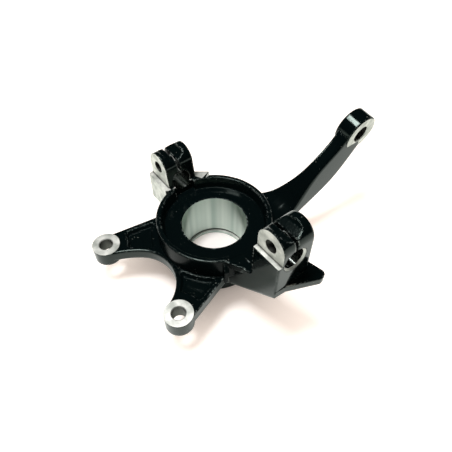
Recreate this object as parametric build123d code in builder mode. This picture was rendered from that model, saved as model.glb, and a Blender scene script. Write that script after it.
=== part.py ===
from build123d import *

import os
from math import cos, radians, sin

# Steering knuckle for a light off-road vehicle: one iron casting with machined seats.
# Millimetres. Origin on the wheel bearing axis, level with the inboard shoulder face.
# +Z points inboard along that axis, +X towards the tie rod, -Y towards the upper ball joint.

# ---- hub -----------------------------------------------------------------------------
bearing_dia = 55.0          # outside diameter of the wheel bearing
hub_depth = 46.0            # shoulder face down to the outboard end
barrel_rad = 38.5           # outside of the barrel
barrel_chamfer = 1.5        # at the barrel's outboard end
rim_outer_rad = 48.2        # outside of the raised dust rim
rim_wall = 4.0              # thickness of the rim at its top
rim_lean = 2.3              # the rim's inner side leans out by this much
rim_height = 9.65           # rim above the shoulder face
rim_round = 1.0             # cast rounding of the rim's outer edge
rim_break = 0.5             # bevel of its inner edge
rim_skirt = 13.0            # how far the rim's outer wall runs below the shoulder face
undercut_depth = 22.0       # where the skirt's underside has come in to the barrel
lip_rad = 26.0              # stop lip below the bearing seat
lip_thick = 2.8
relief_rad = 28.6           # grinding relief above the lip
relief_width = 2.0

# ---- caliper arms ---------------------------------------------------------------------
left_ear = (-81.7, 42.8)
near_ear = (-69.9, -48.1)
ear_face = -9.2             # machined face of the caliper ears
ear_dia = 23.0
ear_height = 14.0
ear_hole_dia = 11.0
ear_hole_chamfer = 0.6
arm_top = -9.8              # cast top of the arms
arm_thick = 9.6
left_side = ((-74.0, 49.8), (0.0, 37.2))    # outer sides of the arms, from ear to hub
near_side = ((-66.0, -57.9), (0.0, -36.2))
web_mid = (-82.3, -5.5)     # middle of the round inner edge between the ears
web_rad = 32.0
web_arc = (50.0, -22.0)     # where that edge starts and ends, in degrees from +X
edge_bead = 1.5             # rounding of the inner edge between the ears
pocket_depth = 2.8
pocket_slope = 38.0         # the pockets' sides lean by this much
pocket_border = 3.5         # rib left round the pockets
pocket_corner = 2.5
pocket_to_ear = 6.5         # from the side of the ear
left_pocket_rad = 53.0      # hub side of each pocket, from the bearing axis
near_pocket_rad = 49.6

# ---- ball joint clamps ----------------------------------------------------------------
stud_dia = 17.0
stud_chamfer = 1.4          # where the stud goes in
slot_width = 2.6
pinch_dia = 10.5            # clearance hole for the M10 pinch bolt
pinch_tap_dia = 8.6         # tapping hole in the far ear
valley_floor = 6.4          # bottom of the cast valley between two ears, above the pinch bolt
valley_knee = (8.1, 10.0)   # where its walls get steeper, as (x, height above the pinch bolt)
valley_brow = (9.2, 13.5)   # its walls past the top of the ears
valley_round = 2.0
clamp_length = 25.4         # clamp along the stud
lobe_rad = clamp_length / 2 # rounded top of the clamp, round the pinch bolt

lower_mid = 62.0            # middle of the lower clamp along Y
lower_stud = 13.5           # height of the lower stud axis
lower_pinch = 25.2          # height of the lower pinch bolt axis
lower_face = 13.0           # milled face on the bolt head side, from the stud axis
lower_back = 14.3           # far side of the lower clamp
lower_ledge = 11.0          # height of the milled step under the bolt head
lower_pad = 17.5            # outer side of the pad under that step
lower_pad_start = 45.0
lower_inset = 2.6           # the clamp's foot starts this far inside the rim's outer wall
lower_bottom = -16.0
lower_window = 19.4         # opening in the rim under the stud
lower_round = 2.5           # cast rounding of the pad's upright edges
# ground-off pouring gate beside the lower clamp
gate_outline = ((0.0, 46.0), (0.0, 53.6), (15.8, 53.6), (27.5, 44.5), (24.5, 39.2))
gate_thick = 12.0

upper_mid = -77.9
upper_stud = 45.5
upper_pinch = 56.2
upper_face = 11.5
upper_half = 15.0           # half the width of the neck and the clamp
upper_ledge = 46.0
upper_round = 1.2           # cast rounding of the neck's outer corner
neck_foot = (-36.0, -34.0)  # neck underside where it leaves the barrel, as (y, z)
neck_heel = 11.2            # height of the neck underside at the clamp's outer face
neck_channel = 15.0         # width of the open channel on top of the neck
rail_root = 8.0             # concave rise of the walls into the clamp
flare_start = (-23.2, -40.6)    # the wall's outer edge swings out of the rim
flare_mid = (-19.9, -47.9)
flare_root = (0.0, -42.2)
flare_thick = 6.0
rim_gap_angle = 23.5        # the rim thins to half this far from -Y, on both sides
arm_rib_angle = 26.4        # rib between the rim and the near caliper arm, from -Y
arm_rib_width = 3.8
arm_rib_reach = 4.6
arm_rib_drop = 2.0          # top of the rib below the top of the rim

# ---- stop flange beside the upper clamp ------------------------------------------------
flange_thick = 7.0
flange_corner = 4.0
# the flange's free corners as (x, y)
flange_near = (19.5, -102.1)
flange_tip = (26.0, -100.9)
flange_outline = ((-5.0, -91.3), flange_near, flange_tip, (22.5, -84.9))

# ---- tie rod arm ----------------------------------------------------------------------
eye_front = (138.3, -28.0, 42.8)    # middle of the eye's machined face
eye_tilt = 8.0              # the eye's axis leans by this much from the Y axis
eye_dia = 33.4
eye_bevel = 0.9             # on both edges of the eye
eye_thick = 15.2
eye_hole_dia = 15.0
eye_hole_chamfer = 0.8
blade_near = -26.8          # side of the blade that is nearest the upper clamp
blade_end = 140.0           # the blade ends inside the eye
blade_fall = (4.0, 10.0)    # the blade's top falls towards its near side: down, across
blade_round = 3.5           # rounding of the edge below that fall
blade_edge = 0.8            # bevel of the blade's far upper edge
# side view of the blade as (x, z), then its far side in plan as (x, y)
blade_top = ((54, -9), (73, 2.0), (92, 25.2), (110, 37.8), (121.5, 48.0))
blade_bottom = ((blade_end, 29), (112, 2.6), (90, -8.4), (15, -29))
blade_far = ((18, 34.5), (40, 21.4), (62, 6.3), (74, -4.5), (88, -14.1), (104, -16.2), (blade_end, -14.4))
blade_root = (15, -9)       # buried in the hub
top_run = ((1, 0), (0.6, 0.8))  # directions of the blade's top at its two ends

os.makedirs("parts", exist_ok=True)

bore_rad = bearing_dia / 2
rim_inner_rad = rim_outer_rad - rim_wall
shoulder_rad = rim_inner_rad - rim_lean     # flat annular face round the bore
ear_rad = ear_dia / 2
half_length = clamp_length / 2
stud_rad = stud_dia / 2
upper_outer = upper_mid - half_length
upper_inner = upper_mid + half_length
lower_inner = lower_mid - half_length
lower_outer = lower_mid + half_length
lower_foot = rim_outer_rad - lower_inset
beyond = 200.0              # past the casting's edges, for cuts that run out of it


def on_circle(centre, radius, angle):
    """Point of a circle at an angle in degrees from +X."""
    return Vector(*centre) + Vector(radius, 0).rotate(Axis.Z, angle)


# ---- hub casting ----------------------------------------------------------------------
with BuildPart() as hub:
    with BuildSketch(Plane.XZ) as hub_profile:
        with BuildLine():
            Polyline(
                (0, 0),
                (shoulder_rad, 0),
                (rim_inner_rad, rim_height),
                (rim_outer_rad, rim_height),
                (rim_outer_rad, -rim_skirt),
                (barrel_rad, -undercut_depth),
                (barrel_rad, -hub_depth),
                (0, -hub_depth),
                close=True,
            )
        make_face()
        rim_corners = hub_profile.vertices().group_by(Axis.Y)[-1].sort_by(Axis.X)
        fillet(rim_corners[-1], radius=rim_round)
        rim_corners = hub_profile.vertices().group_by(Axis.Y)[-1].sort_by(Axis.X)
        chamfer(rim_corners[0], length=rim_break)
        end_corner = hub_profile.vertices().group_by(Axis.Y)[0].sort_by(Axis.X)[-1]
        chamfer(end_corner, length=barrel_chamfer)
    revolve(axis=Axis.Z)

# ---- caliper arms: two ears and the pocketed web between them ---------------------------
left_inner = on_circle(left_ear, ear_rad, -98)
near_inner = on_circle(near_ear, ear_rad, 111)

with BuildPart() as caliper_arms:
    with BuildSketch(Plane.XY.offset(arm_top)) as web:
        with BuildLine():
            inner_edge = CenterArc(web_mid, web_rad, web_arc[0], web_arc[1] - web_arc[0])
            TangentArc(inner_edge @ 0, left_inner, tangent=-(inner_edge % 0))
            Polyline(left_inner, left_ear, *left_side)
            Polyline(left_side[-1], near_side[-1], near_side[0], near_ear, near_inner)
            TangentArc(inner_edge @ 1, near_inner, tangent=inner_edge % 1)
        make_face()
    extrude(amount=-arm_thick)
    bead = caliper_arms.edges().group_by(Axis.Z)[-1].filter_by(GeomType.CIRCLE)
    fillet(bead, radius=edge_bead)
    for pocket_rad, keep in ((left_pocket_rad, 1), (near_pocket_rad, -1)):
        with BuildSketch(Plane.XY.offset(arm_top)) as pocket:
            add(web.sketch.face().moved(Location((0, 0, -arm_top))))
            offset(amount=-pocket_border)
            Circle(pocket_rad, mode=Mode.SUBTRACT)
            with Locations(left_ear, near_ear):
                Circle(ear_rad + pocket_to_ear, mode=Mode.SUBTRACT)
            with Locations((0, -keep * beyond / 2)):
                Rectangle(2 * beyond, beyond, mode=Mode.SUBTRACT)
            offset(amount=-pocket_corner)
            offset(amount=pocket_corner)
        extrude(amount=-pocket_depth, taper=pocket_slope, mode=Mode.SUBTRACT)
    with BuildSketch(Plane.XY.offset(ear_face - ear_height)):
        with Locations(left_ear, near_ear):
            Circle(ear_rad)
    extrude(amount=ear_height)


# ---- lower clamp ----------------------------------------------------------------------
with BuildPart() as lower_clamp:
    with BuildSketch(Plane.YZ.offset(-lower_face)):
        with BuildLine():
            Polyline(
                (lower_inner, lower_pinch),
                (lower_foot, 0),
                (lower_foot, lower_bottom),
                (lower_outer, lower_bottom),
                (lower_outer, lower_pinch),
            )
            ThreePointArc(
                (lower_outer, lower_pinch),
                (lower_mid, lower_pinch + lobe_rad),
                (lower_inner, lower_pinch),
            )
        make_face()
    extrude(amount=lower_face + lower_back)
    with BuildSketch(Plane.YZ.offset(-lower_pad)):
        with BuildLine():
            Polyline(
                (lower_pad_start, lower_bottom),
                (lower_pad_start, lower_ledge),
                (lower_outer, lower_ledge),
                (lower_outer, lower_bottom),
                close=True,
            )
        make_face()
    extrude(amount=lower_pad - lower_face)
    fillet(lower_clamp.edges().filter_by(Axis.Z).sort_by(Axis.X)[:2], radius=lower_round)
    with BuildSketch(Plane.XY.offset(rim_height)):
        with BuildLine():
            Polyline(*gate_outline, close=True)
        make_face()
    extrude(amount=-gate_thick)

# ---- upper clamp and the neck that carries it --------------------------------------------
with BuildPart() as upper_clamp:
    with BuildSketch(Plane.YZ.offset(-upper_half)):
        with BuildLine():
            Polyline(
                neck_foot,
                (upper_outer, neck_heel),
                (upper_outer, upper_ledge),
                (upper_inner, upper_ledge),
                (upper_inner, rim_height + rail_root),
            )
            TangentArc(
                (upper_inner, rim_height + rail_root),
                (upper_inner + rail_root, rim_height),
                tangent=(0, -1),
            )
            Polyline((upper_inner + rail_root, rim_height), (neck_foot[0], rim_height), neck_foot)
        make_face()
    extrude(amount=2 * upper_half)
    outer_corner = upper_clamp.edges().filter_by(Axis.Z).group_by(Axis.Y)[0].sort_by(Axis.X)[0]
    fillet(outer_corner, radius=upper_round)
    with BuildSketch(Plane.YZ.offset(-upper_face)):
        with BuildLine():
            Polyline(
                (upper_inner, upper_pinch),
                (upper_inner, upper_stud),
                (upper_outer, upper_stud),
                (upper_outer, upper_pinch),
            )
            ThreePointArc(
                (upper_outer, upper_pinch),
                (upper_mid, upper_pinch + lobe_rad),
                (upper_inner, upper_pinch),
            )
        make_face()
    extrude(amount=upper_face + upper_half)

    # stop flange along the heel, reaching out past the clamp's far side
    with BuildSketch(Plane.XY.offset(neck_heel)) as flange:
        with BuildLine():
            Polyline(
                (-upper_half, upper_outer),
                *flange_outline,
                (upper_half, upper_inner),
                (-upper_half, upper_inner),
                close=True,
            )
        make_face()
        fillet(flange.vertices().group_by(Axis.Y)[0], radius=flange_corner)
        fillet(flange.vertices().sort_by(Axis.X)[-1], radius=flange_corner)
    extrude(amount=flange_thick)

    # flared tops of the channel walls, where they swing out into the rim
    for side in (-1, 1):
        with BuildSketch(Plane.XY.offset(rim_height)) as flare:
            with BuildLine():
                Spline(
                    (-side * flare_start[0], flare_start[1]),
                    (-side * flare_mid[0], flare_mid[1]),
                    (side * upper_half, upper_inner + rail_root),
                )
                Polyline(
                    (side * upper_half, upper_inner + rail_root),
                    (0, upper_inner + rail_root),
                    flare_root,
                    (-side * flare_start[0], flare_start[1]),
                )
            make_face()
        extrude(amount=-flare_thick)

# ---- tie rod arm ----------------------------------------------------------------------
eye_axis = Vector(0, cos(radians(eye_tilt)), sin(radians(eye_tilt)))
eye_plane = Plane(origin=eye_front, x_dir=(1, 0, 0), z_dir=eye_axis)
with BuildPart() as steering_arm:
    # side view: thin at the hub, rising into a deep blade
    with BuildSketch(Plane.XZ.offset(beyond)):
        with BuildLine():
            top = Spline(*blade_top, tangents=top_run)
            bottom = Spline(*blade_bottom, tangents=((-0.7, -0.75), (-1, -0.1)))
            Polyline(top @ 1, (blade_end, blade_top[-1][1]), bottom @ 0)
            Polyline(bottom @ 1, blade_root, top @ 0)
        make_face()
    extrude(amount=-2 * beyond)
    # plan view: wide at the hub, narrowing to the blade
    with BuildSketch(Plane.XY.offset(-beyond)):
        with BuildLine():
            far_side = Spline(*blade_far, tangents=((0.8, -0.4), (1, 0.05)))
            Polyline(
                far_side @ 1,
                (blade_end, blade_near),
                (blade_far[0][0], blade_near),
                far_side @ 0,
            )
        make_face()
    extrude(amount=2 * beyond, mode=Mode.INTERSECT)
    long_edges = steering_arm.edges().sort_by(SortBy.LENGTH)[-4:]
    chamfer(long_edges.sort_by(Axis.Y)[-2:].sort_by(Axis.Z)[-1], length=blade_edge)
    # the blade's top falls towards its near side
    with BuildSketch(Plane.XZ.offset(-blade_near)):
        with BuildLine():
            brow = Spline(*[(x, z - blade_fall[0]) for x, z in blade_top], tangents=top_run)
            Polyline(
                brow @ 1,
                (blade_end, blade_top[-1][1] - blade_fall[0]),
                (blade_end, -beyond),
                (blade_root[0], -beyond),
                (blade_root[0], blade_root[1] - blade_fall[0]),
                brow @ 0,
            )
        make_face()
    extrude(amount=beyond, dir=(0, blade_fall[1], blade_fall[0]), mode=Mode.INTERSECT)
    near_edges = steering_arm.faces().filter_by(Plane.XZ).sort_by(Axis.Y)[0].edges()
    fillet(near_edges.sort_by(SortBy.LENGTH)[-2], radius=blade_round)
    with BuildSketch(eye_plane):
        Circle(eye_dia / 2)
    extrude(amount=eye_thick)
    chamfer(steering_arm.edges(Select.LAST).filter_by(GeomType.CIRCLE), length=eye_bevel)

# ---- the whole casting, then its machining -------------------------------------------------
with BuildPart() as knuckle:
    add(hub.part)
    add(lower_clamp.part)
    add(upper_clamp.part)
    add(steering_arm.part)
    add(caliper_arms.part)

    # rib between the rim and the near caliper arm
    rib_plane = Plane.XZ.rotated((0, 0, -90 - arm_rib_angle))
    with BuildSketch(rib_plane):
        with BuildLine():
            Polyline(
                (barrel_rad, arm_top - arm_rib_width),
                (rim_outer_rad + arm_rib_reach, arm_top - arm_rib_width),
                (rim_outer_rad + arm_rib_reach, 0),
                (rim_outer_rad, rim_height - arm_rib_drop),
                (barrel_rad, rim_height - arm_rib_drop),
                close=True,
            )
        make_face()
    extrude(amount=arm_rib_width / 2, both=True)

    # clear the inside of the rim, the way under the lower stud and the channel on the neck
    with BuildSketch(Plane.XY):
        Circle(shoulder_rad)
        with Locations((0, lower_foot / 2)):
            Rectangle(lower_window, lower_foot)
        with Locations((0, upper_inner / 2)):
            Rectangle(neck_channel, -upper_inner)
    extrude(amount=rim_height + rail_root, mode=Mode.SUBTRACT)
    with BuildSketch(Plane.XY):
        with BuildLine():
            gap_edge = CenterArc(
                (0, 0), rim_outer_rad - rim_wall / 2, -90 - rim_gap_angle, 2 * rim_gap_angle
            )
            Polyline(gap_edge @ 1, (0, 0), gap_edge @ 0)
        make_face()
    extrude(amount=rim_height + rail_root, mode=Mode.SUBTRACT)

    # bearing seat, relief and stop lip
    with BuildSketch(Plane.XZ):
        with BuildLine():
            Polyline(
                (0, 0),
                (bore_rad, 0),
                (bore_rad, -hub_depth + lip_thick + relief_width),
                (relief_rad, -hub_depth + lip_thick + relief_width),
                (relief_rad, -hub_depth + lip_thick),
                (lip_rad, -hub_depth + lip_thick),
                (lip_rad, -hub_depth),
                (0, -hub_depth),
                close=True,
            )
        make_face()
    revolve(axis=Axis.Z, mode=Mode.SUBTRACT)

    # caliper bolt holes
    with BuildSketch(Plane.XY.offset(ear_face)):
        with Locations(left_ear, near_ear):
            Circle(ear_hole_dia / 2)
    extrude(amount=-ear_height, mode=Mode.SUBTRACT)
    ear_mouths = knuckle.edges(Select.LAST).filter_by(GeomType.CIRCLE)
    chamfer(ear_mouths, length=ear_hole_chamfer)

    # stud bores, valleys and slots between the ears, pinch bolt holes
    for mid, outward, stud, pinch in (
        (lower_mid, 1, lower_stud, lower_pinch),
        (upper_mid, -1, upper_stud, upper_pinch),
    ):
        mouth = mid + outward * half_length
        with BuildSketch(Plane.YZ):
            with BuildLine():
                Polyline(
                    (mid - outward * clamp_length, stud),
                    (mid - outward * clamp_length, stud + stud_rad),
                    (mouth - outward * stud_chamfer, stud + stud_rad),
                    (mouth, stud + stud_rad + stud_chamfer),
                    (mid + outward * clamp_length, stud + stud_rad + stud_chamfer),
                    (mid + outward * clamp_length, stud),
                    close=True,
                )
            make_face()
        revolve(axis=Axis((0, 0, stud), (0, 1, 0)), mode=Mode.SUBTRACT)
        with BuildSketch(Plane.XZ.offset(-mid - clamp_length)) as valley:
            with BuildLine():
                wall = Polyline(
                    (0, pinch + valley_floor),
                    (valley_knee[0], pinch + valley_knee[1]),
                    (valley_brow[0], pinch + valley_brow[1]),
                    (0, pinch + valley_brow[1]),
                )
                mirror(wall, about=Plane.YZ)
            make_face()
            columns = valley.vertices().group_by(Axis.X)
            fillet(columns[1] + columns[-2], radius=valley_round)
            with Locations((0, stud + lobe_rad)):
                Rectangle(slot_width, 2 * lobe_rad)
        extrude(amount=2 * clamp_length, mode=Mode.SUBTRACT)
        with BuildSketch(Plane.YZ):
            with Locations((mid, pinch)):
                Circle(pinch_dia / 2)
        extrude(amount=-clamp_length, mode=Mode.SUBTRACT)
        with BuildSketch(Plane.YZ):
            with Locations((mid, pinch)):
                Circle(pinch_tap_dia / 2)
        extrude(amount=clamp_length, mode=Mode.SUBTRACT)

    # tie rod hole
    with BuildSketch(eye_plane):
        Circle(eye_hole_dia / 2)
    extrude(amount=eye_thick, mode=Mode.SUBTRACT)
    eye_mouths = knuckle.edges(Select.LAST).filter_by(GeomType.CIRCLE)
    chamfer(eye_mouths, length=eye_hole_chamfer)

knuckle.part.label = "knuckle"
export_step(knuckle.part, "parts/knuckle.step")
print("solids", len(knuckle.part.solids()), "volume cm3", round(knuckle.part.volume / 1000, 1))
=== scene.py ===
import math

import bmesh
import bpy
import numpy as np
from mathutils import Matrix, Vector


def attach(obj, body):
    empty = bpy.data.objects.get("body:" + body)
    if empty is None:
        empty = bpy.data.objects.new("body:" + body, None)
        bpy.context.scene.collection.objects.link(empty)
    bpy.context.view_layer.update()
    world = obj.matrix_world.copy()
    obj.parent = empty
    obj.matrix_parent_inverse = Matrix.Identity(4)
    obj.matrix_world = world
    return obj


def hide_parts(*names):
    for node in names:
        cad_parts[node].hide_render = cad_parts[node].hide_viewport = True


# Steering knuckle: one iron casting in gloss black enamel, with machined faces left bare.
# Metres, in the CAD frame: origin on the bearing axis, level with the inboard shoulder.

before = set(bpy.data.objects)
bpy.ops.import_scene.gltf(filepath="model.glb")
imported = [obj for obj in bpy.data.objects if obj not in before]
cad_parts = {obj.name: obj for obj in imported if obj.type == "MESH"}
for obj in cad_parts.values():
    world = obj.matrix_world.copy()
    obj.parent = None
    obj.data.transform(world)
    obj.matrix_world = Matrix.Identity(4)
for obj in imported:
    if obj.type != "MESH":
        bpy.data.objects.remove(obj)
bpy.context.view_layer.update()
mm = 0.001


# sRGB hex to linear RGBA
def linear(hexColour):
    parts = [int(hexColour[i:i + 2], 16) / 255 for i in (0, 2, 4)]
    curve = [c / 12.92 if c <= 0.04045 else ((c + 0.055) / 1.055) ** 2.4 for c in parts]
    return curve + [1.0]


# settings are attributes of the node; inputs, by name or number, are values or sockets
def addNode(tree, kind, settings=None, inputs=None):
    node = tree.nodes.new("ShaderNode" + kind)
    for name, value in (settings or {}).items():
        setattr(node, name, value)
    for name, value in (inputs or {}).items():
        if isinstance(value, bpy.types.NodeSocket):
            tree.links.new(value, node.inputs[name])
        else:
            node.inputs[name].default_value = value
    return node


def combine(tree, operation, first, second):
    return addNode(tree, "Math", {"operation": operation}, {0: first, 1: second}).outputs[0]


def dotProduct(tree, first, second):
    node = addNode(tree, "VectorMath", {"operation": "DOT_PRODUCT"}, {0: first, 1: second})
    return node.outputs["Value"]


def mapRange(tree, value, source, target=(0.0, 1.0)):
    limits = {"From Min": source[0], "From Max": source[1]}
    limits.update({"To Min": target[0], "To Max": target[1], "Value": value})
    return addNode(tree, "MapRange", None, limits).outputs["Result"]


def noise(tree, place, scale, detail, roughness=0.5):
    inputs = {"Vector": place, "Scale": 1 / scale, "Detail": detail, "Roughness": roughness}
    return addNode(tree, "TexNoise", None, inputs).outputs["Fac"]


def ramp(tree, value, low, high):
    node = addNode(tree, "ValToRGB", None, {"Fac": value})
    for element, (position, colour) in zip(node.color_ramp.elements, (low, high)):
        element.position, element.color = position, linear(colour)
    return node.outputs["Color"]


def mixColour(tree, share, first, second, blend="MIX"):
    inputs = {"Fac": share, "Color1": first, "Color2": second}
    return addNode(tree, "MixRGB", {"blend_type": blend}, inputs).outputs["Color"]


def occlusion(tree, reach, samples, inside=False, colour=(1.0, 1.0, 1.0, 1.0)):
    settings = {"samples": samples, "inside": inside}
    inputs = {"Distance": reach, "Color": colour}
    return addNode(tree, "AmbientOcclusion", settings, inputs)


def bump(tree, height, distance, normal=None):
    inputs = {"Strength": 1.0, "Distance": distance, "Height": height}
    if normal:
        inputs["Normal"] = normal
    return addNode(tree, "Bump", None, inputs).outputs["Normal"]


def newMaterial(name):
    material = bpy.data.materials.new(name)
    material.use_nodes = True
    tree = material.node_tree
    return material, tree, tree.nodes["Principled BSDF"]


cameraView = {
    "place": (-0.1394, -0.1944, 0.2815),
    "forward": (0.3942, 0.5046, -0.7681),
    "right": (0.788, -0.6157, 0.0),
    "lens": 34.79,
    "sensor": 36.0,
    "clip": (0.01, 20.0),
}


def makeCamera(view):
    data = bpy.data.cameras.new("camera")
    data.sensor_width = view["sensor"]
    data.lens = view["lens"]
    data.clip_start, data.clip_end = view["clip"]
    camera = bpy.data.objects.new("camera", data)
    bpy.context.scene.collection.objects.link(camera)
    forward = Vector(view["forward"]).normalized()
    right = Vector(view["right"]).normalized()
    turn = Matrix((right, right.cross(forward), -forward)).transposed()
    camera.matrix_world = Matrix.Translation(view["place"]) @ turn.to_4x4()
    bpy.context.scene.camera = camera


makeCamera(cameraView)
print("camera ready")

enamel = {
    "name": "glossBlackEnamel",
    "colour": "040b0c",      # black with a trace of blue-green
    "tint": "d6e9e1",        # the greenish cast of its reflections
    "roughness": 0.09,
    "ior": 1.46,
    "level": 0.5,
    "skinScale": 2.2 * mm,   # size of the sand skin's lumps under the paint
    "skinDepth": 0.045 * mm,
    "skinDetail": 3.0,
    "skinRoughness": 0.55,
    "peelScale": 0.9 * mm,   # orange peel of the sprayed coat
    "peelDepth": 0.018 * mm,
    "fineDetail": 1.0,       # octaves of the plain patterns
    "edgeRound": 2.3 * mm,   # cast edges look rounded to this radius
    "edgeSamples": 8,
    "edgeDepth": 0.9 * mm,   # the coat gathers in beads along the edges
    "edgeReach": 0.05,       # turn of the rounded normal at which the beads are at full depth
    "hollowShadeReach": 14 * mm,  # painted shade: occlusion turns the coat's reflection down in the hollows
    "hollowShadeOpen": 0.5,       # openness at which the painted shade is full
    "shadedRoughness": 0.14,
    "shadedLevel": 0.06,
    "aoSamples": 12,
    "crest": (0.99, 0.9),    # inner openness over which an outer edge keeps its gloss
    "glintReach": 1.6 * mm,   # painted highlights: light spots on the outer edges
    "glintEdge": (0.9, 0.55),
    "paintedReflectionTone": "97a6a4",
    "glintScale": 2.6 * mm,
    "glintDetail": 4.0,
    "glintRange": (0.48, 0.6),
    "glintSpread": 14 * mm,   # some stretches of an edge get the painted highlight, others do not
    "spreadRange": (0.44, 0.6),
    "dust": "7f8680",
    "dustScale": 1.5 * mm,
    "dustRange": (0.77, 0.81),
}
# painted shade: a dimmer, duller copy of the enamel for the rim's wall and the arm's root
shadedEnamel = dict(enamel, name="shadedBlackEnamel", level=0.07, roughness=0.24)
machinedIron = {
    "name": "machinedGreyIron",
    "colour": "f0f0ea",
    "dark": "bbbeb7",
    "toneRange": (0.35, 0.62),
    "roughness": 0.6,
    "cornerShadeReach": 1.3 * mm,  # painted shade: the tone darkens in the corners
    "aoSamples": 12,
    "toolPitch": 0.9 * mm,   # feed marks, drawn coarser than the real 0.2 mm so that they show
    "toolDepth": 0.01 * mm,
    "markDetail": 2.0,
    "stainScale": 9 * mm,
    "stainDetail": 4.0,
}
turnedIron = {
    "name": "turnedGreyIron",
    "colour": "d9e0d7",
    "paintedReflectionTone": "a3b2a9",
    "toneRange": (0.35, 0.62),
    # painted reflection bands: light and dark tone in stripes along the bore
    "reflectionBandScale": 13 * mm,
    "detail": 2.0,
    "roughness": 0.3,
    "stretch": 0.85,         # turning marks draw reflections out along the bore
    "axis": (0.0, 0.0, 1.0),
    "toolPitch": 0.5 * mm,
    "toolDepth": 0.004 * mm,
}
reamedIron = dict(
    turnedIron, name="reamedGreyIron", colour="858a87", paintedReflectionTone="6a6f6c",
    roughness=0.22, axis=(0.0, 1.0, 0.0))
drilledIron = dict(
    turnedIron, name="drilledGreyIron", colour="6a6b66", paintedReflectionTone="4c4d49",
    roughness=0.5, stretch=0.0)


# Gloss black enamel sprayed on sand-cast iron: a dark body under a clear skin. It mirrors the
# floor on steep faces, stays black on top, and the sand texture breaks up its highlights.
def makeEnamel(spec):
    material, tree, shader = newMaterial(spec["name"])
    place = addNode(tree, "TexCoord").outputs["Object"]

    rounding = {"samples": spec["edgeSamples"]}
    edge = addNode(tree, "Bevel", rounding, {"Radius": spec["edgeRound"]}).outputs["Normal"]
    flat = addNode(tree, "NewGeometry").outputs["Normal"]
    turned = dotProduct(tree, flat, edge)
    turn = (1.0, 1.0 - spec["edgeReach"])
    depth = mapRange(tree, turned, turn, (spec["skinDepth"], spec["edgeDepth"]))
    skin = noise(tree, place, spec["skinScale"], spec["skinDetail"], spec["skinRoughness"])
    lumps = bump(tree, skin, depth, edge)
    peel = noise(tree, place, spec["peelScale"], spec["fineDetail"])
    coat = bump(tree, peel, spec["peelDepth"], lumps)

    # painted shade: in the hollows and at inner edges the coat's reflection is turned down and
    # dulled
    hollow = occlusion(tree, spec["hollowShadeReach"], spec["aoSamples"]).outputs["AO"]
    hollowShade = mapRange(tree, hollow, (1.0, spec["hollowShadeOpen"]))
    bent = mapRange(tree, turned, turn)
    crestOpen = occlusion(tree, spec["glintReach"], spec["aoSamples"], inside=True).outputs["AO"]
    offCrest = combine(tree, "SUBTRACT", 1.0, mapRange(tree, crestOpen, spec["crest"]))
    paintedShade = combine(tree, "MULTIPLY", combine(tree, "MAXIMUM", hollowShade, bent), offCrest)
    roughness = mapRange(tree, paintedShade, (0.0, 1.0), (spec["roughness"], spec["shadedRoughness"]))
    level = mapRange(tree, paintedShade, (0.0, 1.0), (spec["level"], spec["shadedLevel"]))

    low, high = spec["dustRange"]
    grit = noise(tree, place, spec["dustScale"], spec["fineDetail"])
    specks = ramp(tree, grit, (low, spec["colour"]), (high, spec["dust"]))
    # painted highlight: light grey spots along the outer edges stand in for glints
    outer = mapRange(tree, crestOpen, spec["glintEdge"])
    patches = noise(tree, place, spec["glintScale"], spec["glintDetail"])
    spots = mapRange(tree, patches, spec["glintRange"])
    stretches = noise(tree, place, spec["glintSpread"], spec["fineDetail"])
    glintStretch = mapRange(tree, stretches, spec["spreadRange"])
    paintedGlint = combine(tree, "MULTIPLY", combine(tree, "MULTIPLY", outer, spots), glintStretch)
    body = mixColour(tree, paintedGlint, specks, linear(spec["paintedReflectionTone"]))

    shader.inputs["IOR"].default_value = spec["ior"]
    shader.inputs["Specular Tint"].default_value = linear(spec["tint"])
    tree.links.new(body, shader.inputs["Base Color"])
    tree.links.new(roughness, shader.inputs["Roughness"])
    tree.links.new(level, shader.inputs["Specular IOR Level"])
    tree.links.new(coat, shader.inputs["Normal"])
    return material


# Milled grey iron, bare and dry: satin, slightly uneven in tone, with fine tool marks and painted
# shade in its corners.
def makeMachinedIron(spec):
    material, tree, shader = newMaterial(spec["name"])
    place = addNode(tree, "TexCoord").outputs["Object"]
    low, high = spec["toneRange"]
    stain = noise(tree, place, spec["stainScale"], spec["stainDetail"])
    tone = ramp(tree, stain, (low, spec["dark"]), (high, spec["colour"]))
    # painted shade: occlusion darkens the tone in the corners
    corner = occlusion(tree, spec["cornerShadeReach"], spec["aoSamples"], colour=tone).outputs
    cornerShaded = mixColour(tree, 1.0, corner["Color"], corner["AO"], "MULTIPLY")
    marks = noise(tree, place, spec["toolPitch"], spec["markDetail"])
    tree.links.new(cornerShaded, shader.inputs["Base Color"])
    tree.links.new(bump(tree, marks, spec["toolDepth"]), shader.inputs["Normal"])
    shader.inputs["Metallic"].default_value = 1.0
    shader.inputs["Roughness"].default_value = spec["roughness"]
    return material


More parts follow.
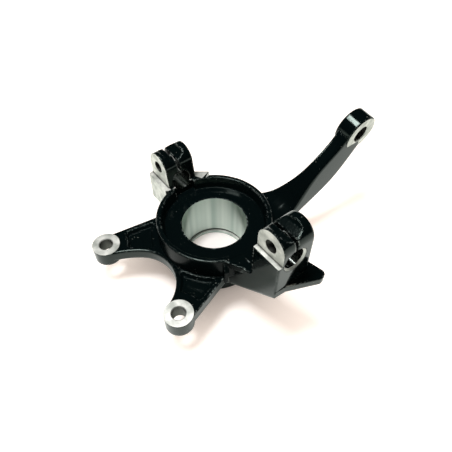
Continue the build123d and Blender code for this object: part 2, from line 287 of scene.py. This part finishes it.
# A bore: fine marks run round it, so its reflections stand as bands along its axis. Its tone also
# changes in bands along the axis: painted reflection bands.
def makeBoredIron(spec):
    material, tree, shader = newMaterial(spec["name"])
    place = addNode(tree, "TexCoord").outputs["Object"]
    axis = addNode(tree, "CombineXYZ", None, dict(zip("XYZ", spec["axis"]))).outputs["Vector"]
    along = dotProduct(tree, place, spec["axis"])
    marks = addNode(tree, "TexNoise", {"noise_dimensions": "1D"}, {
        "W": along, "Scale": 1 / spec["toolPitch"], "Detail": spec["detail"]})
    grooves = bump(tree, marks.outputs["Fac"], spec["toolDepth"])
    height = addNode(tree, "VectorMath", {"operation": "SCALE"}, {"Vector": axis, "Scale": along})
    section = addNode(tree, "VectorMath", {"operation": "SUBTRACT"}, {
        0: place, 1: height.outputs["Vector"]})
    low, high = spec["toneRange"]
    # painted reflection bands: the tone changes round the bore and stays the same along it
    reflectionBands = noise(tree, section.outputs["Vector"], spec["reflectionBandScale"], spec["detail"])
    tone = ramp(tree, reflectionBands, (low, spec["paintedReflectionTone"]), (high, spec["colour"]))
    tree.links.new(tone, shader.inputs["Base Color"])
    tree.links.new(axis, shader.inputs["Tangent"])
    tree.links.new(grooves, shader.inputs["Normal"])
    shader.inputs["Metallic"].default_value = 1.0
    shader.inputs["Roughness"].default_value = spec["roughness"]
    shader.inputs["Anisotropic"].default_value = spec["stretch"]
    return material


# Where the tools and the spray gun have been, in mm.
machining = {
    "fit": 0.12,             # how close a face lies to the plane it belongs to
    "facing": 0.9,           # the least cosine for a face that looks along an axis
    "upright": 0.3,          # the largest cosine for a wall that runs along an axis
    "bearingRad": 28.9, "bearingTop": -0.05, "barrelEnd": -46.0,
    "ears": ((-81.7, 42.8), (-69.9, -48.1)),
    "earFace": -9.2, "earBottom": -23.2, "earRad": 11.6, "earHole": 6.3, "earDrill": 5.8,
    "clamps": (              # middle, stud height, pinch height, face, ledge
        (62.0, 13.5, 25.2, -13.0, 11.0),
        (-77.9, 45.5, 56.2, -11.5, 46.0),
    ),
    "clampHalf": 13.0, "ledgeHalf": 18.0, "ledgeEnd": -18.0, "stepSpare": 0.1,
    "studRad": 10.1, "reamRad": 8.7, "studHalf": 17.0,
    "pinchRad": 5.5, "pinchHalf": 16.0, "pinchSlope": 0.5, "slotHalf": 1.45,
    "padSide": -17.5, "padFrom": 40.0,
    "eye": (138.3, -28.0, 42.8), "eyeTilt": 8.0, "eyeThick": 15.2,
    "eyeFaceRad": 15.9, "eyeHole": 8.6, "eyeDrill": 7.6, "eyeSpare": 0.5,
    "gateTop": 9.65, "gateFrom": (14.0, 37.0, 48.0),
    # the arm's root and the rim's wall take the dimmed enamel, a painted shade
    "rootRad": (48.0, 76.0), "rootY": -17.0, "rootHalf": 9.0, "rootRise": 0.5,
    "wallRad": (47.9, 58.0), "wallHeight": (-9.9, 8.9), "wallBearing": (120.0, 262.0),
    "wallSlope": 0.6,
}


def between(value, limits):
    return (value > limits[0]) & (value < limits[1])


# For each face, from its centre and its unit normal: 0 gloss paint, 1 milled, 2 turned,
# 3 reamed, 4 drilled, 5 dimmed paint (painted shade).
def finishOf(centre, normal, cut):
    x, y, z = centre.T
    nx, ny, nz = normal.T
    facing, spare = cut["facing"], cut["stepSpare"]
    radius = np.hypot(x, y)

    def near(value, target):
        return np.abs(value - target) < cut["fit"]

    inBearing = (radius < cut["bearingRad"]) & (z < cut["bearingTop"])
    turned = inBearing & (np.abs(nz) < facing)
    bare = inBearing | (near(z, cut["barrelEnd"]) & (nz < -facing))

    tilt = math.radians(cut["eyeTilt"])
    away = centre - np.array(cut["eye"])
    along = away @ np.array((0.0, math.cos(tilt), math.sin(tilt)))
    across = np.sqrt(np.maximum((away ** 2).sum(1) - along ** 2, 0))
    eyeEnds = (near(along, 0) | near(along, cut["eyeThick"])) & (across < cut["eyeFaceRad"])
    inEye = between(along, (-cut["eyeSpare"], cut["eyeThick"] + cut["eyeSpare"]))
    bare |= eyeEnds | (inEye & (across < cut["eyeHole"]))
    drilled = inEye & (across < cut["eyeDrill"])

    for earX, earY in cut["ears"]:
        away = np.hypot(x - earX, y - earY)
        bare |= (away < cut["earRad"]) & (near(z, cut["earFace"]) | near(z, cut["earBottom"]))
        bare |= away < cut["earHole"]
        drilled |= (away < cut["earDrill"]) & (np.abs(nz) < cut["upright"])

    reamed = np.zeros(len(x), bool)
    for middle, stud, pinch, face, ledge in cut["clamps"]:
        beside = np.abs(y - middle)
        fromStud = np.hypot(x, z - stud)
        fromPinch = np.hypot(y - middle, z - pinch)
        boltHead = near(x, face) & (nx < -facing) & (z > ledge - spare)
        bare |= boltHead & (beside < cut["clampHalf"])
        step = near(z, ledge) & (nz > facing) & between(x, (cut["ledgeEnd"], face + spare))
        bare |= step & (beside < cut["ledgeHalf"])
        inStud = beside < cut["studHalf"]
        bare |= inStud & (fromStud < cut["studRad"]) & (np.abs(ny) < facing)
        slot = (np.abs(x) < cut["slotHalf"]) & (z > stud) & (np.abs(nx) > facing)
        bare &= ~slot
        bolt = (fromPinch < cut["pinchRad"]) & (np.abs(x) < cut["pinchHalf"])
        bolt &= np.abs(nx) < cut["pinchSlope"]
        bare |= bolt
        drilled |= bolt
        reamed |= inStud & (fromStud < cut["reamRad"]) & (np.abs(ny) < cut["upright"])

    bare |= near(x, cut["padSide"]) & (nx < -facing) & (y > cut["padFrom"])
    gateX, gateY, gateRad = cut["gateFrom"]
    gate = near(z, cut["gateTop"]) & (nz > facing) & (radius > gateRad)
    bare |= gate & (x > gateX) & (y > gateY)

    # painted shade: the rim's wall and the arm's root get the dimmed enamel
    bearing = np.degrees(np.arctan2(y, x)) % 360
    wall = between(radius, cut["wallRad"]) & between(z, cut["wallHeight"])
    wall &= between(bearing, cut["wallBearing"]) & (np.abs(nz) < cut["wallSlope"])
    wall &= nx * x + ny * y > 0
    root = between(radius, cut["rootRad"]) & (np.abs(y - cut["rootY"]) < cut["rootHalf"])
    root &= (x > 0) & (z < 0) & (nz > cut["rootRise"])
    kinds = [turned, reamed & bare, drilled & bare, bare, wall | root]
    return np.select(kinds, [2, 3, 4, 1, 5], 0)


shading = {
    "weld": 1e-6,
    "sharpAngle": 28.0,
    "flatWeight": 100,       # large flat faces keep flat shading
}


# A merged copy of the CAD casting whose faces carry paint or bare metal.
def makeCasting(source, cut, spec, materials):
    mesh = source.data.copy()
    mesh.name = "knuckleCasting"
    work = bmesh.new()
    work.from_mesh(mesh)
    bmesh.ops.remove_doubles(work, verts=work.verts, dist=spec["weld"])
    work.to_mesh(mesh)
    work.free()
    mesh.attributes.remove(mesh.attributes["custom_normal"])   # made for the unmerged triangles
    count = len(mesh.polygons)
    centre, normal = np.zeros(count * 3), np.zeros(count * 3)
    mesh.polygons.foreach_get("center", centre)
    mesh.polygons.foreach_get("normal", normal)
    finish = finishOf(centre.reshape(-1, 3) / mm, normal.reshape(-1, 3), cut)
    mesh.materials.clear()
    for material in materials:
        mesh.materials.append(material)
    mesh.polygons.foreach_set("material_index", finish.astype(np.int32))
    mesh.polygons.foreach_set("use_smooth", np.ones(count, bool))
    mesh.set_sharp_from_angle(angle=math.radians(spec["sharpAngle"]))
    mesh.update()
    casting = bpy.data.objects.new("knuckleCasting", mesh)
    bpy.context.scene.collection.objects.link(casting)
    flats = casting.modifiers.new("flats", "WEIGHTED_NORMAL")
    flats.keep_sharp = True
    flats.weight = spec["flatWeight"]
    return casting


finishes = [makeEnamel(enamel), makeMachinedIron(machinedIron), makeBoredIron(turnedIron),
            makeBoredIron(reamedIron), makeBoredIron(drilledIron), makeEnamel(shadedEnamel)]
casting = makeCasting(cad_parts["knuckle"], machining, shading, finishes)
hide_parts("knuckle")
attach(casting, "root")
print("casting ready")

studio = {
    "floorHeight": -46.0 * mm,
    "floorSize": 6.0,
    "floorColour": "eeecea",
    "floorRoughness": 0.9,
    "floorGlow": 0.74,       # what the white sweep adds for the camera and for reflections
    "contactShadowReach": 0.055,   # painted contact shadow: the glow fades this close under the object
    "aoSamples": 16,
    "glowColour": "fff3ea",
    "paintedReflectionColour": "a6c5c3",   # painted reflection colour: the floor as reflections see it, dimmer and greener than the camera sees it
    "ceiling": "0c0d0e",     # unlit studio above, as the paint mirrors it
    "ambient": "bba99c",
    "backdrop": "ffffff",
}
lamps = (   # name, place in metres, length along X and width, power
    ("overheadBox", (-0.14, 0.118, 0.97), (0.42, 0.23), 8.6),
)


def makeFloor(spec):
    mesh = bpy.data.meshes.new("studioFloor")
    half, z = spec["floorSize"] / 2, spec["floorHeight"]
    corners = [(-half, -half, z), (half, -half, z), (half, half, z), (-half, half, z)]
    mesh.from_pydata(corners, [], [(0, 1, 2, 3)])
    floor = bpy.data.objects.new("studioFloor", mesh)
    bpy.context.scene.collection.objects.link(floor)
    material, tree, shader = newMaterial("whiteSweep")
    shader.inputs["Base Color"].default_value = linear(spec["floorColour"])
    shader.inputs["Roughness"].default_value = spec["floorRoughness"]
    ray = addNode(tree, "LightPath").outputs
    seen = combine(tree, "MAXIMUM", ray["Is Camera Ray"], ray["Is Glossy Ray"])
    seen = combine(tree, "MAXIMUM", seen, ray["Is Transmission Ray"])
    # painted contact shadow: occlusion fades the floor's glow under the object
    contactShadow = occlusion(tree, spec["contactShadowReach"], spec["aoSamples"]).outputs["AO"]
    glow = combine(tree, "MULTIPLY", contactShadow, spec["floorGlow"])
    # reflections see the floor in the painted reflection colour
    light = mixColour(tree, ray["Is Glossy Ray"], linear(spec["glowColour"]),
                      linear(spec["paintedReflectionColour"]))
    tree.links.new(light, shader.inputs["Emission Color"])
    strength = combine(tree, "MULTIPLY", seen, glow)
    tree.links.new(strength, shader.inputs["Emission Strength"])
    mesh.materials.append(material)


def makeWorld(spec):
    world = bpy.data.worlds.new("studioWorld")
    bpy.context.scene.world = world
    world.use_nodes = True
    tree = world.node_tree
    ray = addNode(tree, "LightPath").outputs
    lit = mixColour(tree, ray["Is Glossy Ray"], linear(spec["ambient"]), linear(spec["ceiling"]))
    shown = mixColour(tree, ray["Is Camera Ray"], lit, linear(spec["backdrop"]))
    tree.links.new(shown, tree.nodes["Background"].inputs["Color"])


def makeLamps(rows):
    for name, place, size, power in rows:
        data = bpy.data.lights.new(name, "AREA")
        data.shape = "RECTANGLE"
        data.size, data.size_y = size
        data.energy = power
        lamp = bpy.data.objects.new(name, data)
        bpy.context.scene.collection.objects.link(lamp)
        away = Vector(place).normalized()
        side = Vector((0, 1, 0)).cross(away).normalized()
        turn = Matrix((side, away.cross(side), away)).transposed()
        lamp.matrix_world = Matrix.Translation(place) @ turn.to_4x4()


makeFloor(studio)
makeWorld(studio)
makeLamps(lamps)
bpy.context.scene.view_settings.view_transform = "Standard"
print("studio ready")
